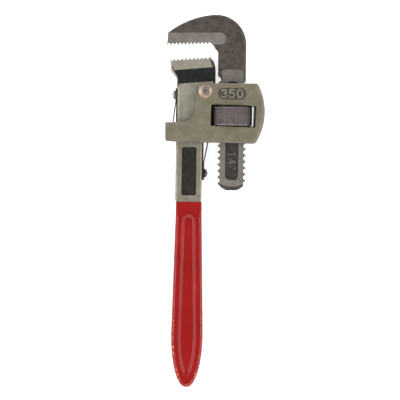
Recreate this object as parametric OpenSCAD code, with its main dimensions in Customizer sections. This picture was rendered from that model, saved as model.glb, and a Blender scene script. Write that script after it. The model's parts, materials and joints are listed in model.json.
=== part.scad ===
// Stillson pipe wrench, 350 mm size, lying on its back with the jaws towards +Y.
// Lengths are in millimetres. Shapes are drawn about the pivot rivet, then placed on the ground.
// Local axes: X across the wrench towards the hook shank, Y along the handle, Z out of the front face.

/* [Bar and handle] */
// Width of the plain bar between housing and grip
bar_width = 21.6; // [16:0.1:28]
// Thickness of the bar
bar_thickness = 12.4; // [10:0.1:16]
// How far the bar lies left of the pivot, centre line to pivot
bar_offset = 12.7; // [8:0.1:18]
// Distance from the pivot to the handle end
handle_reach = 250; // [180:0.5:320]
// Largest width of the handle, over the grip
handle_swell = 26.2; // [20:0.1:36]
// Distance from the pivot to the top of the grip
grip_top = 94; // [70:0.5:130]
// Thickness of the dipped grip skin
grip_skin = 0.9; // [0.4:0.1:2.5]
// Depth of the long panel sunk in each handle face
handle_panel_depth = 3; // [1:0.1:5]

/* [Heel jaw] */
// Thickness of the heel jaw block
heel_thickness = 16.6; // [13:0.1:24]
// Number of heel jaw teeth
heel_teeth = 11; // [5:1:16]
// Pitch of the heel jaw teeth
heel_pitch = 3.32; // [2:0.01:5]
// Depth of the heel jaw teeth
heel_tooth_depth = 1.7; // [0.8:0.1:2.5]
// Height of the heel teeth above the pivot, at the tip
heel_height = 26.3; // [20:0.1:36]

/* [Hook jaw] */
// Thickness of the hook jaw head
hook_thickness = 16; // [13:0.1:24]
// Height of the hook teeth above the pivot, at the tip
hook_height = 39.2; // [33:0.1:60]
// Number of hook jaw teeth
hook_teeth = 12; // [5:1:16]
// Pitch of the hook jaw teeth
hook_pitch = 3.13; // [2:0.01:5]
// Depth of the hook jaw teeth
hook_tooth_depth = 1.9; // [0.8:0.1:2.5]
// Distance from the pivot to the shank axis
shank_x = 23.2; // [20:0.1:28]
// Crest radius of the threaded shank
shank_radius = 11.8; // [9:0.1:14]
// Depth of the pad milled along the hook teeth
hook_pad_depth = 0.5; // [0.2:0.1:1.5]
// Thickness of the shank across its two flats
shank_thickness = 10.4; // [8:0.1:12]
// Distance from the pivot down to the shank end
shank_reach = 83.8; // [60:0.1:110]

/* [Adjusting thread and nut] */
// Pitch of the adjusting thread
thread_pitch = 5.35; // [3:0.01:8]
// Depth of the thread grooves in the shank
thread_depth = 2.3; // [1:0.1:3]
// Outside radius of the nut
nut_radius = 17; // [14:0.1:20]
// Length of the nut
nut_length = 16.4; // [10:0.1:20]
// Distance from the pivot down to the middle of the nut
nut_drop = 20.7; // [16:0.1:26]

/* [Housing] */
// Thickness of the housing over both cheeks
housing_thickness = 22.4; // [19:0.1:30]
// Gap between the two cheeks, at the bar
cheek_gap = 12.8; // [10.4:0.1:17]
// Radius of the rounded back of the housing
housing_back_radius = 50; // [45:0.5:60]
// Distance from the pivot up to the top edge
housing_top = 6.5; // [5:0.1:12]
// Distance from the pivot down to the bottom edge
housing_bottom = 43.2; // [38:0.1:55]
// Thickness of the strap around the bar
strap_thickness = 4.6; // [3:0.1:7]
// Depth of the sunk size plate
plate_depth = 0.8; // [0.3:0.1:1.5]

/* [Pivot and springs] */
// Radius of the pivot rivet shank
pivot_radius = 4; // [2.5:0.1:6]
// Radius of the pivot rivet head
pivot_head_radius = 6; // [4:0.1:9]
// Thickness of the base leaves
base_leaf = 1.1; // [0.5:0.1:2]
// Thickness of the bent leaves
bent_leaf = 0.8; // [0.4:0.1:2]
// Width of the leaves
leaf_width = 9; // [5:0.1:13]
// Head radius of the spring rivets
spring_rivet_head = 3.7; // [2:0.1:4]

/* [Hidden] */
$fn = 64;
over = 1;                    // how far a cutter runs past the face it cuts
running = 0.05;              // radial clearance of a turning fit

// Bar and heel jaw, all positions from the pivot
bar_left = -bar_offset - bar_width / 2;
bar_right = bar_left + bar_width;
heel_tip = -30.1;            // left end of the heel jaw
heel_slope = 4.2;            // rise of the heel teeth line, degrees
heel_under = 17.2;           // where the tip turns in towards the bar
heel_neck = 9.8;             // where the tip meets the bar
heel_back = 8.5;             // back of the heel jaw, right of the pivot
heel_chin = [[6.7, 25.4], [8.1, 21.4]]; // rounded corner behind the last tooth
ramp_tilt = 5.3;             // tilt of the head's sloping shoulder, degrees
ramp_top = 19.8;             // upper edge of the sloping shoulder
ramp_bottom = 8;             // lower edge of the sloping shoulder
ramp_foot = 2;               // how far the jaw block reaches into the bar below the shoulder
waist_top = 2;               // where the bar starts to narrow behind the pivot
waist_bottom = 33;           // where the narrowing ends
panel_width = 12;            // sunk panel between housing and grip
panel_top = 47.6;
panel_bottom = 88.5;
panel_depth = 0.9;
panel_corner = 1.6;

// Handle, widest at the swell, closing in a long rounded end
swell_drop = 206;            // widest point of the handle, below the pivot
handle_top_width = bar_width - 0.4;
end_fullness = 0.45;         // 0.5 closes the end as an ellipse, less makes it fuller
end_angles = [7.5 : 7.5 : 82.5]; // where the end's outline has its points
long_panel_top = 105.2;      // long sunk panel seen through the grip
long_panel_bottom = 241;
long_panel_top_half = 4.9;
long_panel_half = 7;

// Hook jaw head
crown_center = [13.2, -7.6]; // flat arc over the teeth
crown_radius = 72.5;
shoulder_center = [9.7, 40];
shoulder_radius = 24.5;
crown_end = 6.5;             // where the flat arc meets the shoulder
hook_tip = -33;              // left end of the hook jaw
hook_tip_lean = 0.7;         // the tip leans back by this much at its top
hook_tip_height = 9.2;
hook_slope = 2.7;            // rise of the hook teeth line, degrees
throat = 10.9;               // inner side of the hook leg
throat_corner = [[2.6, 42.6], [4, 42], [5.5, 40.6], [6.8, 38.9], [8, 36.8], [9.9, 34.9]];
pad_end = [12.3, 44.7];      // centre of the milled pad's round end
pad_radius = 5.5;
pad_tilt = 0.9;              // degrees
leg_bottom = 13.2;           // where the forged leg ends and the thread starts
leg_back = 34.2;             // back of the forged leg
flat_start = 19.5;           // top of the machined flats
slot_width = 10.8;           // long sunk slot in the shank
slot_top = 8.4;
slot_bottom = 74.8;
slot_corner = 4;
slot_depth = 1;
end_radius = 14;             // dome on the shank end
end_flat = 4;                // radius of the flat left on the dome

// Adjusting thread, right handed, seen along the shank axis
first_groove = 7.6;          // height of the first groove on the back of the shank
groove_count = 17;
groove_root_half = 0.75;
groove_crest_half = 2.2;
groove_angle = 120;          // each groove is cut over this much of the turn
groove_runout = 1.3;         // the first groove is this much wider, towards the head
thread_mean_radius = shank_radius - thread_depth / 2;
lead_angle = atan(thread_pitch / (2 * PI * thread_mean_radius));
flank_slope = (groove_crest_half - groove_root_half) / thread_depth;
nut_bore = shank_radius + 0.2;
ridge_tip = shank_radius - thread_depth + 0.3;
ridge_gap = 0.25;            // play between ridge and groove
ridge_sink = 0.4;            // the ridge is rooted this far into the nut
ridge_steps = 48;            // steps in one turn
ridge_first_step = 8;
ridge_last_step = 112;
ridge_first_groove = 6.5;    // grooves between the first one and step 0 of the ridge
nut_edge = 0.9;              // chamfer on the nut's rims

// Housing
housing_left = -33.3;
arc_drop = -17.4;            // height of the centre of the rounded back
corner_radius = 3;            // upper corner at the back
corner_lift = 0.15;          // the corner's round crosses the back's round here, and isn't tangent to it
top_rise = 0.3;              // the top edge climbs this much towards the back
bottom_fall = 0.6;           // the bottom edge drops this much towards the back
strap_top = 27;
cutout_radius = 12.5;        // sweep that leaves the bar and its spring in view
cutout_center = [-21.8, -14.5];
cutout_top_x = -7.1;
window = [[5.2, -11.1], [43.3, -12], [42.7, -30.4], [4.9, -29.4]];
plate_center = [23.1, -2];
plate_length = 23.2;
plate_height = 10.1;
shank_play = 0.4;            // gap between shank and housing walls
bridge_left = 5.2;           // cross wall between bar and shank
bridge_top = 33;
passage_split = 9.9;         // the bar's passage ends and the narrower one of the shank starts
head_rise = 1.8;             // dome of the pivot rivet head

// Springs
upper_spring_top = 2.4;
upper_base_bottom = 36;
upper_bend = 15.7;
upper_reach = 36;
upper_spread = 3;
upper_rivet_drop = 3.3;
lower_spring_bottom = 75.4;
lower_base_top = 37;
lower_bend = 61.3;
lower_reach = 36.5;
lower_spread = 4.3;
lower_rivet_drop = 69.5;
spring_rivet_radius = 1.8;
spring_rivet_grip = 8;       // how deep the spring rivets sit in the bar
spring_rivet_rise = 2.8;

// Ground position: the nut is the lowest part, the outline is centred
x_center = (housing_left + housing_back_radius) / 2;
hook_crown = shoulder_center[1] + shoulder_radius;
y_center = (hook_crown - handle_reach) / 2;

module place() {
  translate([-x_center, -y_center, nut_radius]) children();
}

// A flat plate centred on the wrench's middle plane
module slab(thickness) {
  translate([0, 0, -thickness / 2]) linear_extrude(height = thickness) children();
}

// The same cutter from the front and from the back, down to the given depth
module both_faces(thickness, depth) {
  translate([0, 0, thickness / 2 - depth]) linear_extrude(height = depth + over) children();
  translate([0, 0, -thickness / 2 - over]) linear_extrude(height = depth + over) children();
}

// Local Z runs up the shank axis, local X stays
module on_shank() {
  translate([shank_x, 0, 0]) rotate([-90, 0, 0]) children();
}

function rot2(p, a) = [p[0] * cos(a) - p[1] * sin(a), p[0] * sin(a) + p[1] * cos(a)];

// Saw-tooth points from the first tip along a slope to the last tip, teeth pointing to side
function teeth(start, slope, count, pitch, depth, side) = [
  for (i = [0 : count - 1])
  for (k = [0 : i < count - 1 ? 1 : 0])
  start + rot2([pitch * (i + k / 2), k * -side * depth], slope)
];

module rounded_rect(width, height, r) {
  union() {
    translate([-width / 2 + r, -height / 2]) square([width - 2 * r, height]);
    translate([-width / 2, -height / 2 + r]) square([width, height - 2 * r]);
    for (x = [-1, 1]) for (y = [-1, 1])
      translate([x * (width / 2 - r), y * (height / 2 - r)]) circle(r = r);
  }
}

// Height above the pivot, at x, of a line parallel to the sloping shoulder's edges
function ramp_y(x, level) = (level + x * sin(ramp_tilt)) / cos(ramp_tilt);

// Heel jaw block with its teeth along the top; its foot is buried in the bar
module heel_outline() {
  top = teeth([heel_tip, heel_height], heel_slope, heel_teeth, heel_pitch, heel_tooth_depth, 1);
  foot = ramp_bottom - ramp_foot;
  polygon(concat(top, heel_chin, [
    [heel_back, heel_under],
    [heel_back, ramp_y(heel_back, foot)],
    [bar_left, ramp_y(bar_left, foot)],
    [bar_left, heel_neck],
    [heel_tip + 0.4, heel_under]
  ]));
}

// The shoulder that runs from the thick jaw block down to and just under the bar faces
module shoulder_cut() {
  step = (heel_thickness - bar_thickness) / 2;
  fall = step / (ramp_top - ramp_bottom);
  low = ramp_bottom - 2 * ramp_foot;
  for (side = [0, 1])
    rotate([0, 0, ramp_tilt]) mirror([0, 0, side])
      translate([-handle_reach / 4, 0, bar_thickness / 2]) rotate([90, 0, 90])
        linear_extrude(height = handle_reach / 2)
          polygon([[low, -2 * ramp_foot * fall], [ramp_top, step], [ramp_top, step + over],
            [low, step + over]]);
}

// Bar from behind the pivot to the top of the grip
module neck_outline() {
  polygon([
    [bar_left, heel_neck],
    [heel_back, heel_neck],
    [heel_back, -waist_top],
    [bar_right + 4, -waist_top - 14],
    [bar_right + 0.6, -waist_bottom + 7],
    [bar_right, -waist_bottom],
    [bar_right, -grip_top - 4],
    [bar_left, -grip_top - 4]
  ]);
}

// Half width past the swell, where the outline closes at the given drop; t runs from 0 to 90
function closing_half(wide, t) = wide * pow(cos(t), 2 * end_fullness);

// Closed outline about the bar's middle line from its half widths, each [drop, half width]
function both_edges(stations) = concat(
  [for (s = stations) [-bar_offset + s[1], -s[0]]],
  [for (i = [len(stations) - 1 : -1 : 0]) [-bar_offset - stations[i][1], -stations[i][0]]]
);

// Handle without its panels, at a given inset from the outside of the grip
module handle_blank(inset) {
  wide = handle_swell / 2 - inset;
  end = handle_reach - inset - swell_drop;
  slab(bar_thickness + 2 * (grip_skin - inset))
    polygon(both_edges(concat(
      [[grip_top, handle_top_width / 2 - inset], [swell_drop, wide]],
      [for (t = end_angles) [swell_drop + end * sin(t), closing_half(wide, t)]],
      [[swell_drop + end, 0]]
    )));
}

// Long sunk panel of the handle, drawn at a given inset
module long_panel(inset) {
  top = long_panel_top_half - inset;
  top_center = long_panel_top + long_panel_top_half;
  wide = long_panel_half - inset;
  end = long_panel_bottom - inset - swell_drop;
  polygon(both_edges(concat(
    [for (a = [5 : 17 : 90]) [top_center - top * cos(a), top * sin(a)]],
    [[swell_drop, wide]],
    [for (t = end_angles) [swell_drop + end * sin(t), closing_half(wide, t)]]
  )));
}

// Steel handle under the grip
module handle_core() {
  difference() {
    handle_blank(grip_skin);
    both_faces(bar_thickness, handle_panel_depth) long_panel(-grip_skin);
  }
}

// Hole for a spring rivet, from the side given by its direction
module spring_rivet_shank(x, drop, direction, length) {
  translate([x, -drop, 0]) rotate([0, 90 * direction, 0]) cylinder(r = spring_rivet_radius, h = length);
}

module bar() {
  color([0.55, 0.54, 0.48]) place() difference() {
    union() {
      difference() {
        slab(heel_thickness) heel_outline();
        shoulder_cut();
      }
      difference() {
        slab(bar_thickness) neck_outline();
        translate([-bar_offset - bar_width, -grip_top - bar_width, -bar_thickness])
          cube([2 * bar_width, bar_width, 2 * bar_thickness]);
      }
      handle_core();
    }
    cylinder(r = pivot_radius + running, h = heel_thickness + over, center = true);
    both_faces(bar_thickness, panel_depth)
      translate([-bar_offset, -(panel_top + panel_bottom) / 2])
        rounded_rect(panel_width, panel_bottom - panel_top, panel_corner);
    spring_rivet_shank(bar_left - over, upper_rivet_drop, 1, spring_rivet_grip + over);
    spring_rivet_shank(bar_right + over, lower_rivet_drop, -1, spring_rivet_grip + over);
  }
}

module handle_grip() {
  color([0.68, 0.09, 0.08]) place() difference() {
    handle_blank(0);
    both_faces(bar_thickness + 2 * grip_skin, handle_panel_depth) long_panel(0);
    handle_core();
  }
}

// Outline of both cheeks, before the sweep on the bar side is cut
module cheek_outline() {
  corner_y = housing_top + top_rise - corner_radius;
  corner_x = sqrt(pow(housing_back_radius - corner_radius, 2) - pow(corner_y - arc_drop, 2)) + corner_lift;
  intersection() {
    translate([0, arc_drop]) circle(r = housing_back_radius, $fn = 128);
    polygon(concat([[cutout_top_x, housing_top - top_rise]],
      [for (a = [90 : -12 : 30]) [corner_x + corner_radius * cos(a), corner_y + corner_radius * sin(a)]], [
      [housing_back_radius + over, corner_y],
      [housing_back_radius + over, -housing_bottom - bottom_fall],
      [housing_left, -housing_bottom + bottom_fall],
      [housing_left, -strap_top],
      [cutout_center[0], -strap_top],
      [cutout_center[0] + cutout_radius, cutout_center[1]]
    ]));
  }
}

// Passage for the bar between the cheeks, narrower below the top of the cross wall
module bar_passage() {
  left = housing_left + strap_thickness;
  polygon([
    [left, -2 * housing_bottom],
    [bridge_left, -2 * housing_bottom],
    [bridge_left, -bridge_top],
    [passage_split, -bridge_top],
    [passage_split, housing_bottom],
    [left, housing_bottom]
  ]);
}

// Passage for the shank between the cheeks
module shank_passage() {
  left = shank_x - shank_radius - shank_play;
  right = shank_x + shank_radius + shank_play;
  polygon([
    [left, -2 * housing_bottom],
    [right, -2 * housing_bottom],
    [right, housing_bottom],
    [passage_split - over, housing_bottom],
    [passage_split - over, -bridge_top],
    [left, -bridge_top]
  ]);
}

module housing() {
  color([0.52, 0.51, 0.46]) place() difference() {
    slab(housing_thickness) difference() {
      cheek_outline();
      translate(cutout_center) circle(r = cutout_radius);
    }
    slab(cheek_gap) bar_passage();
    slab(shank_thickness + shank_play) shank_passage();
    slab(housing_thickness + over) polygon(window);
    translate([plate_center[0], plate_center[1], housing_thickness / 2 - plate_depth])
      linear_extrude(height = plate_depth + over)
        rounded_rect(plate_length, plate_height, plate_height / 2 - 0.1);
    cylinder(r = pivot_radius, h = housing_thickness + over, center = true);
  }
}

// Domed rivet head standing on z = 0
module rivet_head(radius, rise) {
  ball = (radius * radius + rise * rise) / (2 * rise);
  intersection() {
    translate([0, 0, rise - ball]) sphere(r = ball, $fn = 96);
    cylinder(r = 2 * radius, h = 2 * rise);
  }
}

module pivot_rivet() {
  color([0.72, 0.6, 0.52]) place() union() {
    cylinder(r = pivot_radius, h = housing_thickness, center = true);
    translate([0, 0, housing_thickness / 2]) rivet_head(pivot_head_radius, head_rise);
    translate([0, 0, -housing_thickness / 2]) rotate([180, 0, 0])
      rivet_head(pivot_head_radius, head_rise);
  }
}

// Forged head and leg of the hook jaw, before the mouth is cut
module hook_blank() {
  crown_top = crown_center[1] + crown_radius;
  tip_top = hook_tip + hook_tip_lean;
  union() {
    intersection() {
      translate(crown_center) circle(r = crown_radius, $fn = 160);
      polygon([[crown_end, leg_bottom], [hook_tip, leg_bottom], [hook_tip, hook_height],
        [tip_top, hook_height + hook_tip_height], [tip_top, crown_top], [crown_end, crown_top]]);
    }
    intersection() {
      translate(shoulder_center) circle(r = shoulder_radius, $fn = 128);
      translate([crown_end, shoulder_center[1]]) square(2 * shoulder_radius);
    }
    translate([crown_end, leg_bottom])
      square([leg_back - crown_end, shoulder_center[1] - leg_bottom]);
  }
}

module hook_outline() {
  low = teeth([hook_tip, hook_height], hook_slope, hook_teeth, hook_pitch, hook_tooth_depth, -1);
  difference() {
    hook_blank();
    polygon(concat([[hook_tip - over, leg_bottom - over], [hook_tip - over, hook_height]], low,
      throat_corner, [[throat, leg_bottom - over]]));
  }
}

// Pad milled along the teeth from the tip to a round end
module pad_outline() {
  length = pad_end[0] - hook_tip + pad_radius;
  translate(pad_end) rotate([0, 0, pad_tilt]) {
    circle(r = pad_radius);
    translate([-length, -pad_radius]) square([length, 2 * pad_radius]);
  }
}

// Round shank with a domed end, before flats and thread are cut
module shank_round() {
  dome_height = sqrt(end_radius * end_radius - end_flat * end_flat);
  intersection() {
    translate([0, 0, -shank_reach]) cylinder(r = shank_radius, h = shank_reach + flat_start);
    union() {
      translate([0, 0, -shank_reach + dome_height]) sphere(r = end_radius, $fn = 96);
      translate([0, 0, -shank_reach + dome_height]) cylinder(r = end_radius, h = 2 * shank_reach);
    }
  }
}

// One thread groove over part of a turn, centred on local X
module groove() {
  out = shank_radius + over;
  crest = groove_crest_half + over * flank_slope;
  root = shank_radius - thread_depth;
  rotate([0, 0, -groove_angle / 2]) rotate_extrude(angle = groove_angle)
    polygon([[root, -groove_root_half], [out, -crest], [out, crest], [root, groove_root_half]]);
}

module thread_grooves() {
  translate([0, 0, first_groove + thread_pitch / 2 + groove_runout]) rotate([0, 0, 180]) groove();
  for (i = [0 : groove_count - 1]) {
    translate([0, 0, first_groove - i * thread_pitch]) rotate([lead_angle, 0, 0]) groove();
    translate([0, 0, first_groove - (i - 0.5) * thread_pitch]) rotate([-lead_angle, 0, 0])
      rotate([0, 0, 180]) groove();
  }
}

module hook_jaw() {
  color([0.36, 0.34, 0.31]) place() difference() {
    union() {
      difference() {
        slab(hook_thickness) hook_outline();
        both_faces(hook_thickness, (hook_thickness - shank_thickness) / 2)
          translate([0, -over]) square([2 * leg_back, flat_start + over]);
        both_faces(hook_thickness, hook_pad_depth) pad_outline();
      }
      intersection() {
        on_shank() shank_round();
        slab(shank_thickness) translate([0, -2 * shank_reach]) square([2 * leg_back, 3 * shank_reach]);
      }
    }
    on_shank() thread_grooves();
    both_faces(shank_thickness, slot_depth)
      translate([shank_x, (slot_top - slot_bottom) / 2])
        rounded_rect(slot_width, slot_top + slot_bottom, slot_corner);
  }
}

// Inner thread of the nut as one closed spiral ridge
module ridge() {
  steps = ridge_last_step - ridge_first_step;
  start = first_groove - ridge_first_groove * thread_pitch;
  root = nut_bore + ridge_sink;
  root_half = groove_root_half + (root - shank_radius + thread_depth) * flank_slope - ridge_gap;
  tip_half = groove_root_half + (ridge_tip - shank_radius + thread_depth) * flank_slope - ridge_gap;
  section = [[root, -root_half], [root, root_half], [ridge_tip, tip_half], [ridge_tip, -tip_half]];
  points = [
    for (i = [ridge_first_step : ridge_last_step])
    let (turn = i / ridge_steps, a = 180 + 360 * turn)
    for (p = section)
    [p[0] * cos(a), p[0] * sin(a), start + p[1] + thread_pitch * turn]
  ];
  sides = [
    for (i = [0 : steps - 1])
    for (k = [0 : 3])
    let (m = (k + 1) % 4)
    for (f = [[4 * i + k, 4 * i + 4 + m, 4 * i + 4 + k], [4 * i + k, 4 * i + m, 4 * i + 4 + m]])
    f
  ];
  first = [[0, 2, 1], [0, 3, 2]];
  last = [[4 * steps, 4 * steps + 1, 4 * steps + 2], [4 * steps, 4 * steps + 2, 4 * steps + 3]];
  polyhedron(points = points, faces = concat(sides, first, last));
}

module adjusting_nut() {
  half = nut_length / 2;
  color([0.42, 0.39, 0.39]) place() on_shank() union() {
    translate([0, 0, -nut_drop]) rotate_extrude($fn = 96)
      polygon([
        [nut_bore, -half + nut_edge],
        [nut_bore + nut_edge, -half],
        [nut_radius - nut_edge, -half],
        [nut_radius, -half + nut_edge],
        [nut_radius, half - nut_edge],
        [nut_radius - nut_edge, half],
        [nut_bore + nut_edge, half],
        [nut_bore, half - nut_edge]
      ]);
    ridge();
  }
}

// Flat leaf riveted along one edge of the bar, drilled for its rivet
module straight_leaf(x, top, bottom, thickness, rivet_drop) {
  difference() {
    translate([x, -bottom, -leaf_width / 2]) cube([thickness, bottom - top, leaf_width]);
    translate([x - over, -rivet_drop, 0]) rotate([0, 90, 0])
      cylinder(r = spring_rivet_radius, h = thickness + 2 * over);
  }
}

// Leaf that lies flat from start to bend, then leans away from the bar up to its tip
module leaning_leaf(x, start, bend, tip, spread, side, rivet_drop) {
  difference() {
    slab(leaf_width)
      polygon([
        [x, start],
        [x, bend],
        [x + side * spread, tip],
        [x + side * (spread + bent_leaf), tip],
        [x + side * bent_leaf, bend],
        [x + side * bent_leaf, start]
      ]);
    translate([x - 2 * over, -rivet_drop, 0]) rotate([0, 90, 0])
      cylinder(r = spring_rivet_radius, h = 4 * over);
  }
}

// Rivet driven sideways into the bar, head outside
module side_rivet(x, drop, side) {
  translate([x, -drop, 0]) rotate([0, 90 * side, 0]) union() {
    translate([0, 0, -spring_rivet_grip - base_leaf - bent_leaf])
      cylinder(r = spring_rivet_radius, h = spring_rivet_grip + base_leaf + bent_leaf);
    rivet_head(spring_rivet_head, spring_rivet_rise);
  }
}

module upper_base_leaf() {
  color([0.16, 0.16, 0.17]) place() straight_leaf(bar_left - base_leaf, -upper_spring_top,
    upper_base_bottom, base_leaf, upper_rivet_drop);
}

module upper_spring_leaf() {
  color([0.2, 0.2, 0.21]) place() leaning_leaf(bar_left - base_leaf, upper_spring_top,
    -upper_bend, -upper_reach, upper_spread, -1, upper_rivet_drop);
}

module upper_spring_rivet() {
  color([0.3, 0.29, 0.28]) place()
    side_rivet(bar_left - base_leaf - bent_leaf, upper_rivet_drop, -1);
}

module lower_base_leaf() {
  color([0.16, 0.16, 0.17]) place() straight_leaf(bar_right, lower_base_top,
    lower_spring_bottom, base_leaf, lower_rivet_drop);
}

module lower_spring_leaf() {
  color([0.2, 0.2, 0.21]) place() leaning_leaf(bar_right + base_leaf, -lower_spring_bottom,
    -lower_bend, -lower_reach, lower_spread, 1, lower_rivet_drop);
}

module lower_spring_rivet() {
  color([0.3, 0.29, 0.28]) place()
    side_rivet(bar_right + base_leaf + bent_leaf, lower_rivet_drop, 1);
}

bar();
handle_grip();
housing();
pivot_rivet();
hook_jaw();
adjusting_nut();
upper_base_leaf();
upper_spring_leaf();
upper_spring_rivet();
lower_base_leaf();
lower_spring_leaf();
lower_spring_rivet();
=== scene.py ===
"""Looks of the pipe wrench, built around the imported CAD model.

Shapes are drawn in millimetres about the pivot rivet (x across the wrench, y along the handle
towards the jaws, z out of the front face), and moved into the shared frame by deliver().
"""
import json
from math import (acos, asin, atan2, copysign, cos, degrees, dist, exp, hypot, inf, pi, radians,
                  sin, sqrt, tan)

import bmesh
import bpy
import numpy as np
from mathutils import Matrix, Vector


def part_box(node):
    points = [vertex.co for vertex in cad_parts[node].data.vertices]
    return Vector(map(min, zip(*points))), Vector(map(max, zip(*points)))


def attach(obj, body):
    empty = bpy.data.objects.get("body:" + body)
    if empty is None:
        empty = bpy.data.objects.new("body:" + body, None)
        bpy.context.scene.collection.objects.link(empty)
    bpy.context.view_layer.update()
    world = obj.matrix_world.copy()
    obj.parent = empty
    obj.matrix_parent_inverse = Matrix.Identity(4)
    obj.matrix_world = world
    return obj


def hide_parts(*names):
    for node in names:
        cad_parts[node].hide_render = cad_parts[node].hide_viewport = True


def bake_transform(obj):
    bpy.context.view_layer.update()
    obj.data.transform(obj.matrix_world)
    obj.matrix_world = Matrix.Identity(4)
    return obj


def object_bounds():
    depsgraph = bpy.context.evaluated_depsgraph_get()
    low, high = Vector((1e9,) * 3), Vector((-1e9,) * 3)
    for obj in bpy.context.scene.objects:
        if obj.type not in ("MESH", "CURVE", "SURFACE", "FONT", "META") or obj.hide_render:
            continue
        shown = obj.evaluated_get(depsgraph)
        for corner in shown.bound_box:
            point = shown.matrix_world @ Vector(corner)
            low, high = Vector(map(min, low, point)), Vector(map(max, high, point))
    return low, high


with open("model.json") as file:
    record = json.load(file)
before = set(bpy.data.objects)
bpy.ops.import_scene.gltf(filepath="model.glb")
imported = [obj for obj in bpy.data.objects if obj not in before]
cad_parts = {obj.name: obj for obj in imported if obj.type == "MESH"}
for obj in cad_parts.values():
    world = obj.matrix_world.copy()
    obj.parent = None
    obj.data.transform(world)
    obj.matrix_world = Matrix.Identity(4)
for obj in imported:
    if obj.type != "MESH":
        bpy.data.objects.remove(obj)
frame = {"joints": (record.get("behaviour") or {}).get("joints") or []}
cad_box = [list(corner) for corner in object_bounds()]

MM = 0.001
ROCK = next(j for j in frame["joints"] if j["name"] == "housing_rock")
PIVOT = Vector(ROCK["pos_m"])
TO_FRAME = Matrix.Translation(PIVOT) @ Matrix.Scale(MM, 4)
TO_BACK = Matrix.Scale(-1, 4, (0, 0, 1))


def box_mm(node):
    """Lowest and highest corner of a CAD node, in millimetres from the pivot."""
    low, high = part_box(node)
    return (low - PIVOT) / MM, (high - PIVOT) / MM


def placed(name, data):
    """New object in the scene."""
    made = bpy.data.objects.new(name, data)
    bpy.context.scene.collection.objects.link(made)
    return made


# ---- shader nodes

def new_finish(name):
    """Node tree and shader of a new material."""
    material = bpy.data.materials.new(name)
    material.use_nodes = True
    return material.node_tree, material.node_tree.nodes["Principled BSDF"]


def feed(node, inputs):
    """Gives each named input a value or another node's output; returns the node's outputs."""
    for key, value in inputs.items():
        if isinstance(value, bpy.types.NodeSocket):
            node.id_data.links.new(value, node.inputs[key])
        else:
            node.inputs[key].default_value = value
    return node.outputs


def added(tree, kind, **inputs):
    """New node of this kind; an input's words are joined by underscores in its keyword."""
    node = tree.nodes.new("ShaderNode" + kind)
    return feed(node, {key.replace("_", " "): value for key, value in inputs.items()})


def coords(tree, scale=(1, 1, 1), turn=0):
    """Object coordinates in millimetres, stretched by scale and turned about z."""
    return added(tree, "Mapping", Vector=added(tree, "TexCoord")["Object"],
                 Scale=[s / MM for s in scale], Rotation=(0, 0, radians(turn)))["Vector"]


def noise(vector, scale, detail=3.0, roughness=0.55):
    return added(vector.id_data, "TexNoise", Vector=vector, Scale=scale, Detail=detail,
                 Roughness=roughness)["Fac"]


def ramp(value, low, high, to_low=0.0, to_high=1.0):
    """Smooth step from to_low, where value is low, to to_high, where it is high."""
    node = value.id_data.nodes.new("ShaderNodeMapRange")
    node.interpolation_type = "SMOOTHSTEP"
    return feed(node, {"Value": value, "From Min": low, "From Max": high, "To Min": to_low,
                       "To Max": to_high})["Result"]


def maths(operation, a, b=0.0):
    """Result of a maths node for the socket a and for b, a number or a socket."""
    node = a.id_data.nodes.new("ShaderNodeMath")
    node.operation = operation
    return feed(node, {0: a, 1: b})[0]


def mixed(factor, a, b):
    """Colour between a and b, each a colour tuple or a socket."""
    node = factor.id_data.nodes.new("ShaderNodeMix")
    node.data_type = "RGBA"
    a, b = ((*value, 1) if isinstance(value, tuple) else value for value in (a, b))
    return feed(node, {"Factor": factor, 6: a, 7: b})[2]


def coat(shader, colour, roughness, height, strength, depth_mm, specular=0.2):
    """Links what every finish has: colour, roughness and bumps of this depth."""
    bump = added(shader.id_data, "Bump", Height=height, Strength=strength, Distance=depth_mm * MM)
    feed(shader, {"Base Color": colour, "Roughness": roughness, "Normal": bump["Normal"],
                  "Specular IOR Level": specular})


def bare(shader, metallic, anisotropic=0.0):
    """Adds what sets bare metal apart from paint."""
    feed(shader, {"Metallic": metallic, "Anisotropic": anisotropic, "Specular Tint": EDGE_TINT})


def worn_edges(tree, low, high, most=1.0):
    """As much as most on outward edges, 0 on flats."""
    return ramp(added(tree, "NewGeometry")["Pointiness"], low, high, 0.0, most)


def tinted(colour, red, green, blue):
    return (colour[0] * red, colour[1] * green, colour[2] * blue)


# ---- camera, floor and light

VIEW_MM = 340  # width of the picture at the middle plane of the wrench
VIEW_DISTANCE = 2.4  # camera height above that plane, in metres
VIEW_SHIFT = (-0.0115, 0.0004)
SENSOR = 36
PHOTO_TURN = 0.85  # the wrench leans this much in the picture, degrees
FLOOR_HALF = 3.0
FLOOR_GLOW = 0.72  # the floor shines this much for the camera and in mirrors
SOFTBOXES = [  # name, place, length, width and power
    ("softbox_left", (-0.85, 0.1, 1.0), 1.8, 0.2, 8.5),
    ("softbox_right", (0.95, -0.1, 0.9), 1.8, 0.16, 6.5),
    ("softbox_handle", (-0.2, -1.0, 1.0), 0.8, 0.8, 5.0),
]


def make_camera():
    data = bpy.data.cameras.new("camera")
    data.sensor_width = SENSOR
    data.lens = SENSOR * VIEW_DISTANCE / (VIEW_MM * MM)
    camera = placed("camera", data)
    x, y = ((low + high) / 2 + shift for low, high, shift in zip(*cad_box, VIEW_SHIFT))
    camera.location = (x, y, PIVOT.z + VIEW_DISTANCE)
    camera.rotation_euler = (0, 0, radians(PHOTO_TURN))
    bpy.context.scene.camera = camera


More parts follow.
